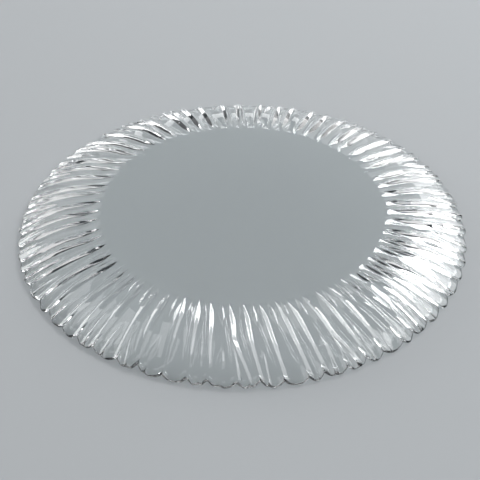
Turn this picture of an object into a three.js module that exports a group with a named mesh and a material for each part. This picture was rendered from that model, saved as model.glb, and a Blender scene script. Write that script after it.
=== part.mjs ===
// A round serving platter of clear pressed glass, lying face down as on a display table.
// The scalloped rim rests on z = 0 and the flat base is on top. Millimetres, +Z up, origin under the centre.

import * as THREE from 'three';

// Overall sizes
const rimDiameter = 320;       // across the tips of the scallops
const baseDiameter = 201;      // the flat, clear disc
const platterHeight = 21;      // the base plane above the rim's resting plane
const rimCurve = 2.15;         // how late the rim turns down: 1 is a straight cone, more is a fuller curve

// Glass
const baseThickness = 5;
const edgeThickness = 2;       // at the rim's edge, on an arris between two flutes
const edgeUndercut = 0.8;      // the edge's foot stands this far inside its top

// Flutes: concave scoops that meet in narrow arrises, from the base out to the edge
const fluteCount = 64;
const fluteDepth = 2.2;        // below the arrises, on the middle of the rim
const fluteEdgeDepth = 0.8;    // the same at the edge
const fluteLeadIn = 11;        // length over which a scoop deepens beside the base
const fluteSkew = 0.6;         // where a scoop is deepest, as a share of its width
const fluteJitter = 0.16;      // how far an arris wanders from its even place, as a share of a pitch

// Swirl: how the arrises lean as they run outwards, counter-clockwise seen from above
const swirlAngle = 2.4;        // degrees from base to edge, on average
const swirlWander = 1.7;       // degrees more or less, in slow waves round the rim
const swirlWaves = 3;
const bowAngle = 0.6;          // degrees that single arrises bow aside half way

// Scalloped edge: one lobe for each flute, with a cusp at each arris
const scallopDepth = 2.6;      // tips of the lobes past the cusps
const cuspLift = 0.9;          // cusps stand this far above the resting plane

// Mesh
const samplesPerFlute = 5;
const rimRows = [0, 0.06, 0.17, 0.34, 0.52, 0.7, 0.86, 1];
const servingRows = [0.72, 0.38, 0];

const baseRadius = baseDiameter / 2;
const rimRadius = rimDiameter / 2;
const rimWidth = rimRadius - baseRadius;
const pitch = 2 * Math.PI / fluteCount;
const columnCount = fluteCount * samplesPerFlute;

// Two waves that never fall into step make the flutes uneven, in their places and in their bows
const unevenWaves = [
  { step: 2.4, offset: 1.3, weight: 0.6 },
  { step: 5.1, offset: 2.9, weight: 0.4 },
];
const ofPlace = 1;
const ofBow = 2;

// A fixed number between -1 and 1 for each flute, so that no two flutes are alike
function unevenness(flute, kind) {
  const place = flute % fluteCount;
  const parts = unevenWaves.map((wave) => wave.weight * Math.sin(wave.step * place + wave.offset * kind));
  return parts.reduce((sum, part) => sum + part, 0);
}

// Direction of one arris at a share of the way from base (0) to edge (1)
function arrisAngle(flute, share) {
  const slowWave = Math.sin(pitch * swirlWaves * flute);
  const lean = (swirlAngle + swirlWander * slowWave) * share;
  const bow = bowAngle * unevenness(flute, ofBow) * Math.sin(Math.PI * share);
  const start = pitch * (flute + fluteJitter * unevenness(flute, ofPlace));
  return start + THREE.MathUtils.degToRad(lean + bow);
}

// Depth of a scoop across its width, 0 on both arrises and 1 at its deepest line
function scoop(across) {
  const skewed = across < fluteSkew ? across / fluteSkew : (1 - across) / (1 - fluteSkew);
  return 1 - (1 - skewed) ** 2;
}

// How far the deepest line of a scoop lies below its arrises at a share of the way out
function scoopDepth(share) {
  const leadIn = Math.min(share * rimWidth / fluteLeadIn, 1);
  const roundedEnd = Math.sqrt(1 - (1 - leadIn) ** 2);
  const full = THREE.MathUtils.lerp(fluteDepth, fluteEdgeDepth, share ** rimCurve);
  return full * roundedEnd;
}

// Height of the arrises, and of the smooth serving side below them
function arrisHeight(share) {
  return THREE.MathUtils.lerp(platterHeight, edgeThickness, share ** rimCurve);
}

function servingHeight(share) {
  const wall = THREE.MathUtils.lerp(baseThickness, edgeThickness, share ** rimCurve);
  return arrisHeight(share) - wall;
}

// One ring of points round the rim. Each column keeps its place within its flute, so columns follow the swirl.
function ring(share, heightOf, inset = 0) {
  const points = [];
  for (let column = 0; column < columnCount; column += 1) {
    const flute = Math.floor(column / samplesPerFlute);
    const across = column / samplesPerFlute - flute;
    const left = arrisAngle(flute, share);
    const right = arrisAngle(flute + 1, share);
    const angle = THREE.MathUtils.lerp(left, right, across);
    const cusp = 1 - scoop(across);
    const edgeRadius = rimRadius - scallopDepth * cusp;
    const radius = THREE.MathUtils.lerp(baseRadius, edgeRadius, share) - inset;
    const height = heightOf(share, across) + cuspLift * cusp * share ** rimCurve;
    points.push(new THREE.Vector3(radius * Math.cos(angle), radius * Math.sin(angle), height));
  }
  return points;
}

// A closed skin over rings that run from one centre point, over the edge, to the other centre point
function skin(rings, firstCentre, lastCentre) {
  const points = [firstCentre, ...rings.flat(), lastCentre];
  const lastIndex = points.length - 1;
  const faces = [];
  for (let column = 0; column < columnCount; column += 1) {
    const next = (column + 1) % columnCount;
    faces.push(0, 1 + column, 1 + next);
    for (let row = 0; row + 1 < rings.length; row += 1) {
      const inner = 1 + row * columnCount;
      const outer = inner + columnCount;
      faces.push(inner + column, outer + column, outer + next);
      faces.push(inner + column, outer + next, inner + next);
    }
    const lastRing = lastIndex - columnCount;
    faces.push(lastRing + column, lastIndex, lastRing + next);
  }
  const geometry = new THREE.BufferGeometry().setFromPoints(points);
  geometry.setIndex(faces);
  geometry.computeVertexNormals();
  return geometry;
}

function makePlatter() {
  const flutedHeight = (share, across) => arrisHeight(share) - scoopDepth(share) * scoop(across);
  const flutedSide = rimRows.map((share) => ring(share, flutedHeight));
  const edgeFoot = ring(1, servingHeight, edgeUndercut);
  const servingSide = servingRows.map((share) => ring(share, servingHeight));
  const geometry = skin(
    [...flutedSide, edgeFoot, ...servingSide],
    new THREE.Vector3(0, 0, platterHeight),
    new THREE.Vector3(0, 0, platterHeight - baseThickness),
  );
  const clearGlass = new THREE.MeshStandardMaterial({
    color: 0xe6eeec,
    roughness: 0.05,
    metalness: 0,
    transparent: true,
    opacity: 0.35,
  });
  const platter = new THREE.Mesh(geometry, clearGlass);
  platter.name = 'platter';
  return platter;
}

const servingPlatter = new THREE.Group();
servingPlatter.add(makePlatter());

export default servingPlatter;
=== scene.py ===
import math
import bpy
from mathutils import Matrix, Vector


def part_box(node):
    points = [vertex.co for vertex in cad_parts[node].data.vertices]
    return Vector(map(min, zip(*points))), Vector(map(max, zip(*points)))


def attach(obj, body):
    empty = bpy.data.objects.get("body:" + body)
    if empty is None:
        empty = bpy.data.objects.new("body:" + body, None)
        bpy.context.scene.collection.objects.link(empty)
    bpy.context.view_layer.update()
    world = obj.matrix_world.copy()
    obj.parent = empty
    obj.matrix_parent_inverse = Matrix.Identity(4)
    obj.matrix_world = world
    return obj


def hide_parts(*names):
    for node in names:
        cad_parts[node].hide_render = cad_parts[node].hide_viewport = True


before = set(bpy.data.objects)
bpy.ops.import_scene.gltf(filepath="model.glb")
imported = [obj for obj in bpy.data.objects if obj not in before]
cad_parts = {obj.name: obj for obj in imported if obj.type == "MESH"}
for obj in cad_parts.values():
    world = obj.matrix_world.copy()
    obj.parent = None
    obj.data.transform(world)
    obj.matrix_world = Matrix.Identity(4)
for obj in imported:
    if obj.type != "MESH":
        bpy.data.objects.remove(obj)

from types import SimpleNamespace

import bpy
import numpy as np
from mathutils import Quaternion, Vector

mm = 0.001
scene = bpy.context.scene
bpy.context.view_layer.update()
lowCorner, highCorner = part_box("platter")
print("frame loaded: platter", [round(x / mm, 1) for x in highCorner - lowCorner], "mm")


# sRGB hex to the linear colour that Blender's sockets take
def hexColour(code):
    parts = [int(code[k:k + 2], 16) / 255 for k in (1, 3, 5)]
    return [c / 12.92 if c <= 0.04045 else ((c + 0.055) / 1.055) ** 2.4 for c in parts] + [1.0]


# one node, its settings (own values, or inputs by name or number) and its incoming links
def addNode(tree, kind, settings={}, links={}):
    node = tree.nodes.new(kind)
    for name, value in settings.items():
        if hasattr(node, str(name)):
            setattr(node, name, value)
        else:
            node.inputs[name].default_value = value
    for name, socket in links.items():
        tree.links.new(socket, node.inputs[name])
    return node


# numbers of the Mix node's sockets when it mixes two colours
mixFrom, mixTo, mixResult = 6, 7, 2


def newMaterial(name):
    material = bpy.data.materials.new(name)
    material.use_nodes = True
    material.node_tree.nodes.clear()
    return material, material.node_tree


# the platter: one pressing, lying face down with its fluted underside on top, sizes in mm.
# a share is 0 at the base and 1 at the edge, and a place across a flute is 0 on one arris and 1 on the next
platterShape = {
    "baseRadius": 100.5,           # flat clear disc
    "flatMargin": 0.6,             # a ring this far inside keeps the disc flat up to its border
    "rimCurve": 2.15,              # how late the rim turns down
    "baseThickness": 5.0,
    "edgeThickness": 2.0,
    "fluteCount": 64,
    "fluteJitter": 0.16,           # how far an arris wanders from its even place, as a share of a pitch
    "swirlAngle": 2.4,             # degrees that an arris leans from base to edge
    "swirlWander": 1.7,            # degrees more or less, in slow waves round the rim
    "swirlWaves": 3,
    "bowAngle": 0.6,               # degrees that single arrises bow aside half way
    "flankSlope": 0.55,            # both sides of an arris, which stand up out of the flutes
    "flankDepth": 1.3,
    "hollowDepth": 0.5,            # the flutes' floor, from its sides to its middle
    "arrisRound": 0.3,
    "footRound": 0.25,             # where a flank meets the flute's floor
    "leadIn": 16.0,                # a flute deepens over this length beside the base
    "tongue": 3.0,                 # the flat base runs out this far beside each arris
    "tongueRise": (0.5, 0.9),      # places across the flute
    "tongueFall": (0.88, 1.0),
    "twinFront": (0, 0.625),       # short twin arrises come in towards the front, by the direction's sine
    "twinBack": (0.85, 0.98),      # and again at the far back
    "twinPlace": 0.62,
    "twinPlaceJitter": 0.05,
    "twinTop": 0.85,               # how far they rise out of the flute's floor
    "twinHold": 0.4,               # the part of their length where they keep that height
    "twinStop": 0.38,              # share where they have sunk into the floor
    "twinStopJitter": 0.08,
    "branchStart": 0.50,           # share where a second arris starts
    "branchStartJitter": 0.12,
    "branchRise": 0.25,            # and how much further out it has risen
    "branchGrowth": 0.45,          # how far it rises, with enough jitter that some never do
    "branchGrowthJitter": 1.3,
    "branchTop": 0.15,             # a full one's crest stays this share of the depth below the arrises
    "branchEnd": 0.48,             # its place at the edge
    "branchEndJitter": 0.16,
    "forkFrom": 0.72,              # unevenness from which it forks off the arris beside it
    "forkPlace": 0.05,
    "forkRise": 0.1,
    "scallopDepth": 2.2,
    "scallopPower": 1.2,           # of the lobes' sine: more gives softer cusps
    "scallopJitter": 0.5,
    "noseRadius": 1.0,             # rounding of the thin edge
    "noseTop": 0.9,                # how far its top and foot stand back, as shares of it
    "noseFoot": 1.1,
    "servingRelief": (0.8, 1.0),   # shares where the smooth serving side takes up the flutes' form
}
platterMesh = {
    "halfColumns": 12,             # as many as there are places in acrossAt
    "rows": 44,                    # from base to edge on the fluted side
    "rowPower": 1.15,              # crowds them beside the base
    "noseSteps": 6,
    "servingRows": 10,
    "leastFlank": 0.15,            # of its half flute
    "mostFlanks": 0.9,             # both of a half flute together
    "footBend": 0.45,              # mm on both sides of a foot, for its rounding
    "bendOfFloor": 0.45,           # and the most that it takes of the floor and the flank
    "bendOfFlank": 0.5,
    "flankSteps": (0.2, 0.5),      # columns between a crest and a foot
}
# waves that never fall into step make the flutes uneven, and each thing that is uneven draws its own numbers
unevenWaves = [
    {"weight": 0.6, "step": 2.4, "offset": 1.3},
    {"weight": 0.4, "step": 5.1, "offset": 2.9},
]
unevenThings = {
    "place": 1, "bow": 2, "branchStart": 3, "branchGrowth": 4, "branchEnd": 6,
    "twinStop": 7, "twinPlace": 8, "scallop": 9, "fork": 11,
}

shape = SimpleNamespace(**platterShape)
grid = SimpleNamespace(**platterMesh)
height = highCorner.z / mm
rimRadius = max(highCorner.x, highCorner.y) / mm
rimWidth = rimRadius - shape.baseRadius
pitch = 2 * math.pi / shape.fluteCount
columnFlute = np.repeat(np.arange(shape.fluteCount), 2 * grid.halfColumns)
columnInFlute = np.tile(np.arange(2 * grid.halfColumns), shape.fluteCount)


# a fixed number from -1 to 1 for each flute, so that no two flutes are alike
def unevenness(flute, thing):
    place = np.mod(flute, shape.fluteCount)
    start = unevenThings[thing]
    return sum(wave["weight"] * np.sin(wave["step"] * place + wave["offset"] * start) for wave in unevenWaves)


# a smooth rise from 0 to 1
def ramp(x, start, end):
    risen = np.clip((x - start) / (end - start), 0, 1)
    return risen * risen * (3 - 2 * risen)


def blendTo(start, end, share):
    return start + (end - start) * share


# direction of an arris, in radians
def arrisAngle(flute, share):
    slowWave = np.sin(pitch * shape.swirlWaves * flute)
    lean = (shape.swirlAngle + shape.swirlWander * slowWave) * share
    bow = shape.bowAngle * unevenness(flute, "bow") * np.sin(math.pi * share)
    start = pitch * (flute + shape.fluteJitter * unevenness(flute, "place"))
    return start + np.radians(lean + bow)


# the lesser of two depths, with a rounded passage from one to the other
def softLess(one, other):
    passage = np.maximum(shape.footRound - np.abs(one - other), 0)
    return np.minimum(one, other) - passage ** 2 / (4 * shape.footRound)


# depth of a flank at a distance from its arris, whose crest is rounded
def flankAt(distance):
    return shape.flankSlope * (np.hypot(distance, shape.arrisRound) - shape.arrisRound)


# how far from its arris a flank has come down by a depth
def footAt(depth):
    reach = np.maximum(depth, 0) / shape.flankSlope + shape.arrisRound
    return np.sqrt(reach ** 2 - shape.arrisRound ** 2)


# second arrises in a flute: a short twin at the base sinks, and another rises further out. in a few flutes
# that one forks off the arris beside it. gives their place across the flute and how far they have risen
def branchOf(flute, share):
    fork = unevenness(flute, "fork") > shape.forkFrom
    toBack = np.sin(pitch * flute)
    twinned = (ramp(-toBack, *shape.twinFront) + ramp(toBack, *shape.twinBack)) * (1 - fork)
    stop = shape.twinStop + shape.twinStopJitter * unevenness(flute, "twinStop")
    twin = shape.twinTop * twinned * (1 - ramp(share / stop, shape.twinHold, 1))
    start = shape.branchStart + shape.branchStartJitter * unevenness(flute, "branchStart")
    growth = shape.branchGrowth + shape.branchGrowthJitter * unevenness(flute, "branchGrowth")
    growth = np.where(fork, 1, np.clip(growth, 0, 1))
    risen = start + np.where(fork, shape.forkRise, shape.branchRise)
    branch = growth * ramp(share, start, risen)
    twinPlace = shape.twinPlace + shape.twinPlaceJitter * unevenness(flute, "twinPlace")
    endPlace = shape.branchEnd + shape.branchEndJitter * unevenness(flute, "branchEnd")
    firstPlace = np.where(fork, shape.forkPlace, twinPlace)
    moved = ramp(share, np.where(fork, start, stop), 1)
    return blendTo(firstPlace, endPlace, moved), np.maximum(twin, branch)


def fluteWidth(share):
    angle = arrisAngle(columnFlute + 1, share) - arrisAngle(columnFlute, share)
    return angle * blendTo(shape.baseRadius, rimRadius, share)


# depth of a flute's floor, which the base runs into in tongues
def floorAt(share, across):
    tongue = shape.tongue * ramp(across, *shape.tongueRise) * (1 - ramp(across, *shape.tongueFall))
    ahead = np.clip((share * rimWidth - tongue) / shape.leadIn, 0, 1)
    hollow = shape.hollowDepth * 4 * across * (1 - across)
    return (shape.flankDepth + hollow) * (1 - (1 - ahead) ** 2)


def branchCrest(floorDepth, grown):
    return blendTo(floorDepth + shape.footRound, floorDepth * shape.branchTop, grown)


# columns follow the arrises, the second arrises and the feet of both, so that no edge is cut by the mesh.
# half of a flute's columns lie on each side of its second arris
def acrossAt(share):
    place, grown = branchOf(columnFlute, share)
    firstHalf = columnInFlute < grid.halfColumns
    width = fluteWidth(share)
    part = width * np.where(firstHalf, place, 1 - place)
    sideFoot = shape.flankDepth / shape.flankSlope / width
    sideFloor = floorAt(share, np.where(firstHalf, sideFoot, 1 - sideFoot))
    branchFloor = floorAt(share, place)
    crest = branchCrest(branchFloor, grown)
    meeting = ((part - 2 * shape.arrisRound) * shape.flankSlope + crest) / 2
    least = grid.leastFlank * part
    side = np.maximum(footAt(np.minimum(sideFloor, meeting)), least)
    branch = np.maximum(footAt(np.minimum(branchFloor, meeting) - crest), least)
    squeeze = np.minimum(1, grid.mostFlanks * part / (side + branch))
    near = squeeze * np.where(firstHalf, side, branch)
    far = part - squeeze * np.where(firstHalf, branch, side)
    mostBend = np.minimum(grid.bendOfFloor * (far - near), grid.bendOfFlank * np.minimum(near, part - far))
    bend = np.minimum(grid.footBend, mostBend)
    downhill = near - bend
    uphill = part - far - bend
    onCrest, onFlank = grid.flankSteps
    places = [
        np.zeros_like(near), onCrest * downhill, onFlank * downhill, downhill,
        near, near + bend, (near + far) / 2, far - bend,
        far, far + bend, part - onFlank * uphill, part - onCrest * uphill,
    ]
    inPart = np.choose(np.mod(columnInFlute, grid.halfColumns), places) / width
    return np.where(firstHalf, inPart, place + inPart)


# the scalloped edge: lobes with uneven cusps on the arrises
edgeAcross = acrossAt(1.0)
nearestArris = columnFlute + np.rint(edgeAcross)
cusp = 1 - np.sin(math.pi * edgeAcross) ** shape.scallopPower
cusp = cusp * (1 + shape.scallopJitter * unevenness(nearestArris, "scallop"))
edgeRadius = rimRadius - shape.scallopDepth * cusp


def columnAngle(share):
    start = arrisAngle(columnFlute, share)
    return blendTo(start, arrisAngle(columnFlute + 1, share), acrossAt(share))


def ringOf(radius, level, angle):
    return np.stack([radius * np.cos(angle), radius * np.sin(angle), level + 0 * angle], -1)


# height of the arrises over the table, and how far the flutes lie below them
def arrisLevel(share):
    edgeLevel = shape.edgeThickness + shape.flankDepth + shape.hollowDepth
    return blendTo(height, edgeLevel, share ** shape.rimCurve)


def fluteDrop(share):
    across = acrossAt(share)
    width = fluteWidth(share)
    floorDepth = floorAt(share, across)
    place, grown = branchOf(columnFlute, share)
    branchDepth = branchCrest(floorDepth, grown) + flankAt((across - place) * width)
    sideDepth = flankAt(np.minimum(across, 1 - across) * width)
    return np.maximum(softLess(softLess(sideDepth, branchDepth), floorDepth), 0)


# radius of each column at a share of its way out, and the share of the rim's fall that it has reached there
def rimPlace(share, inset):
    radius = blendTo(shape.baseRadius, edgeRadius - inset, share)
    return radius, (radius - shape.baseRadius) / (rimWidth - inset)


def flutedRing(share):
    radius, fall = rimPlace(share, shape.noseTop * shape.noseRadius)
    return ringOf(radius, arrisLevel(fall) - fluteDrop(share), columnAngle(share))


def servingRing(share):
    radius, fall = rimPlace(share, shape.noseFoot * shape.noseRadius)
    wall = blendTo(shape.baseThickness, shape.edgeThickness, fall ** shape.rimCurve)
    level = arrisLevel(fall) - wall - fluteDrop(share) * ramp(share, *shape.servingRelief)
    return ringOf(radius, level, columnAngle(share))


# the fluted side from the base outwards, the rounded edge, and the serving side back to the base
def platterRings():
    flatRadius = shape.baseRadius - shape.flatMargin
    baseAngle = columnAngle(0.0)
    outShares = (np.arange(grid.rows + 1) / grid.rows) ** grid.rowPower
    fluted = [flutedRing(share) for share in outShares]
    serving = [servingRing(share) for share in np.linspace(1, 0, grid.servingRows + 1)]
    outward = ringOf(np.ones(len(columnFlute)), 0, columnAngle(1.0))
    nose = []
    for step in range(1, grid.noseSteps):
        turn = step / grid.noseSteps
        bulge = shape.noseRadius * math.sin(math.pi * turn)
        nose.append(blendTo(fluted[-1], serving[0], turn) + bulge * outward)
    top = ringOf(flatRadius, height, baseAngle)
    under = ringOf(flatRadius, height - shape.baseThickness, baseAngle)
    return [top, *fluted, *nose, *serving, under]


# a closed skin over rings that run from one centre point, over the edge, to the other centre point
def closedSkin(name, rings, firstCentre, lastCentre):
    count = len(rings[0])
    points = np.concatenate([[firstCentre], *rings, [lastCentre]]) * mm
    here = np.arange(count)
    beside = np.roll(here, -1)
    faces = [(0, 1 + a, 1 + b) for a, b in zip(here, beside)]
    for row in range(len(rings) - 1):
        inner = 1 + row * count
        outer = inner + count
        faces += np.stack([inner + here, outer + here, outer + beside, inner + beside], -1).tolist()
    last = len(points) - 1
    faces += [(last - count + a, last, last - count + b) for a, b in zip(here, beside)]
    mesh = bpy.data.meshes.new(name)
    mesh.from_pydata(points.tolist(), [], faces)
    mesh.update()
    mesh.shade_smooth()
    piece = bpy.data.objects.new(name, mesh)
    scene.collection.objects.link(piece)
    return piece


platter = closedSkin(
    "pressedGlassPlatter", platterRings(),
    (0, 0, height), (0, 0, height - shape.baseThickness),
)
print("platter made:", len(platter.data.polygons), "faces")


# clear soda-lime glass, pressed in a mould and fire polished: bright gloss, clean bends of what lies behind,
# and a faint unevenness where the skin chilled on the mould
clearGlass = {
    "tint": "#FEFFFF",
    "shadowTint": "#FAFCFC",       # what lamplight keeps on its way straight through
    "glancingTint": "#24282A",     # and at a glancing angle, which draws the flutes in the shadow
    "glancingPower": 3.0,          # how late that loss sets in
    "ior": 1.58,                   # soda-lime has 1.52, raised for the photograph's sparkle
    "roughness": 0.005,
    "chillWave": 7.0,              # mm from crest to crest of the skin's unevenness
    "chillDetail": 1.0,
    "chillDepth": 0.008,           # mm
}


def makeClearGlass(look):
    material, tree = newMaterial("clearSodaLimeGlassPressed")
    place = addNode(tree, "ShaderNodeTexCoord")
    wave = addNode(tree, "ShaderNodeTexNoise",
                   {"Scale": 1 / (look["chillWave"] * mm), "Detail": look["chillDetail"]},
                   {"Vector": place.outputs["Object"]})
    bump = addNode(tree, "ShaderNodeBump", {"Strength": 1.0, "Distance": look["chillDepth"] * mm},
                   {"Height": wave.outputs["Fac"]})
    glass = addNode(tree, "ShaderNodeBsdfPrincipled",
                    {"Base Color": hexColour(look["tint"]), "Roughness": look["roughness"],
                     "IOR": look["ior"], "Transmission Weight": 1.0},
                    {"Normal": bump.outputs["Normal"]})
    facing = addNode(tree, "ShaderNodeLayerWeight", {"Blend": 0.5})
    glancing = addNode(tree, "ShaderNodeMath", {"operation": "POWER", 1: look["glancingPower"]},
                       {0: facing.outputs["Facing"]})
    loss = addNode(tree, "ShaderNodeMix",
                   {"data_type": "RGBA", mixFrom: hexColour(look["shadowTint"]),
                    mixTo: hexColour(look["glancingTint"])},
                   {"Factor": glancing.outputs["Value"]})
    clear = addNode(tree, "ShaderNodeBsdfTransparent", {}, {"Color": loss.outputs[mixResult]})
    path = addNode(tree, "ShaderNodeLightPath")
    # the floor is lit straight through the glass
    plainWay = addNode(tree, "ShaderNodeMath", {"operation": "MAXIMUM"},
                       {0: path.outputs["Is Shadow Ray"], 1: path.outputs["Is Diffuse Ray"]})
    mixed = addNode(tree, "ShaderNodeMixShader", {},
                    {"Fac": plainWay.outputs["Value"], 1: glass.outputs["BSDF"], 2: clear.outputs["BSDF"]})
    addNode(tree, "ShaderNodeOutputMaterial", {}, {"Surface": mixed.outputs["Shader"]})
    return material


platter.data.materials.append(makeClearGlass(clearGlass))
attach(platter, "root")
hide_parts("platter")
print("glass on the platter")


# the stage: a plain pale floor under soft studio light
stageLook = {
    "floor": "#B0B4B7",
    "floorRoughness": 0.9,
    "floorSize": 16.0,             # m
    "horizon": "#B8BCBF",          # pale walls, which the glass bends into view
    "ceiling": "#24282C",          # dark overhead, so that the glass stays clear
    "ceilingFrom": 0.2,            # sine of the height where the walls have turned into it
}


# emulsion paint, rolled on: an even, soft grey without gloss
def makeFloorPaint(look):
    material, tree = newMaterial("emulsionPaintRolled")
    paint = addNode(tree, "ShaderNodeBsdfPrincipled",
                    {"Base Color": hexColour(look["floor"]), "Roughness": look["floorRoughness"]})
    addNode(tree, "ShaderNodeOutputMaterial", {}, {"Surface": paint.outputs["BSDF"]})
    return material


def makeFloor(look):
    half = look["floorSize"] / 2
    corners = [(-half, -half, 0), (half, -half, 0), (half, half, 0), (-half, half, 0)]
    mesh = bpy.data.meshes.new("studioFloor")
    mesh.from_pydata(corners, [], [(0, 1, 2, 3)])
    mesh.materials.append(makeFloorPaint(look))
    floor = bpy.data.objects.new("studioFloor", mesh)
    scene.collection.objects.link(floor)


def makeWorld(look):
    world = bpy.data.worlds.new("studioWorld")
    scene.world = world
    world.use_nodes = True
    tree = world.node_tree
    tree.nodes.clear()
    place = addNode(tree, "ShaderNodeTexCoord")
    parts = addNode(tree, "ShaderNodeSeparateXYZ", {}, {"Vector": place.outputs["Generated"]})
    rise = addNode(tree, "ShaderNodeMapRange",
                   {"From Min": 0.0, "From Max": look["ceilingFrom"], "interpolation_type": "SMOOTHSTEP"},
                   {"Value": parts.outputs["Z"]})
    room = addNode(tree, "ShaderNodeMix",
                   {"data_type": "RGBA", mixFrom: hexColour(look["horizon"]),
                    mixTo: hexColour(look["ceiling"])},
                   {"Factor": rise.outputs["Result"]})
    back = addNode(tree, "ShaderNodeBackground", {"Strength": 1.0}, {"Color": room.outputs[mixResult]})
    addNode(tree, "ShaderNodeOutputWorld", {}, {"Surface": back.outputs["Background"]})


# soft boxes: azimuth from straight behind the platter, clockwise seen from above, and height above the table,
# in degrees. size in m
softBoxes = {
    "keyBackRight": {"azimuth": 41, "elevation": 42, "roll": 0, "size": (1.25, 1.05), "watts": 54},
    "panelRight": {"azimuth": 53, "elevation": 31, "roll": -42, "size": (4.2, 1.3), "watts": 60},
    "lowBackRight": {"azimuth": 18, "elevation": 16, "roll": 0, "size": (1.1, 1.2), "watts": 3.5},
    "lowBack": {"azimuth": -4, "elevation": 9, "roll": 0, "size": (1.2, 0.5), "watts": 4},
    "softBackLeft": {"azimuth": -29, "elevation": 25, "roll": 0, "size": (1.4, 1.4), "watts": 4.5},
    "lowBackLeft": {"azimuth": -54, "elevation": 12, "roll": 0, "size": (2.1, 1.1), "watts": 34},
    "upperLeft": {"azimuth": -62, "elevation": 58, "roll": 0, "size": (1.6, 1.4), "watts": 12},
    "frontFill": {"azimuth": 180, "elevation": 45, "roll": 0, "size": (4.0, 2.1), "watts": 40},
}
boxDistance = 3.2                  # m, far enough to light the floor evenly


def makeSoftBox(name, box):
    lamp = bpy.data.lights.new(name, "AREA")
    lamp.shape = "RECTANGLE"
    lamp.size, lamp.size_y = box["size"]
    lamp.energy = box["watts"]
    turn, rise, roll = [math.radians(box[key]) for key in ("azimuth", "elevation", "roll")]
    way = Vector((math.sin(turn) * math.cos(rise), math.cos(turn) * math.cos(rise), math.sin(rise)))
    holder = bpy.data.objects.new(name, lamp)
    holder.location = way * boxDistance
    holder.rotation_euler = (way.to_track_quat("Z", "Y") @ Quaternion((0, 0, 1), roll)).to_euler()
    scene.collection.objects.link(holder)


makeFloor(stageLook)
makeWorld(stageLook)
for boxName, box in softBoxes.items():
    makeSoftBox(boxName, box)
print("stage and", len(softBoxes), "soft boxes set")


# the camera stands where the photograph's did, worked out from the outlines of the rim and the base
cameraPlace = {
    "distance": 1100,              # mm
    "elevation": 39.24,            # degrees
    "aim": (-1.7, 0.0, -7.0),      # mm
    "focalPixels": 1525.8,         # in a picture 480 pixels wide
    "pictureWidth": 480,
    "sensorWidth": 36,             # mm
}


def makeCamera(place):
    data = bpy.data.cameras.new("photoCamera")
    data.sensor_width = place["sensorWidth"]
    data.lens = place["focalPixels"] / place["pictureWidth"] * place["sensorWidth"]
    rise = math.radians(place["elevation"])
    back = Vector((0, -math.cos(rise), math.sin(rise)))
    camera = bpy.data.objects.new("photoCamera", data)
    camera.location = (Vector(place["aim"]) + back * place["distance"]) * mm
    camera.rotation_euler = back.to_track_quat("Z", "Y").to_euler()
    scene.collection.objects.link(camera)
    scene.camera = camera


makeCamera(cameraPlace)
scene.view_settings.view_transform = "Standard"
scene.cycles.max_bounces = 24              # light turns many times inside the glass edge
scene.cycles.glossy_bounces = 16
scene.cycles.transmission_bounces = 24
print("camera set")
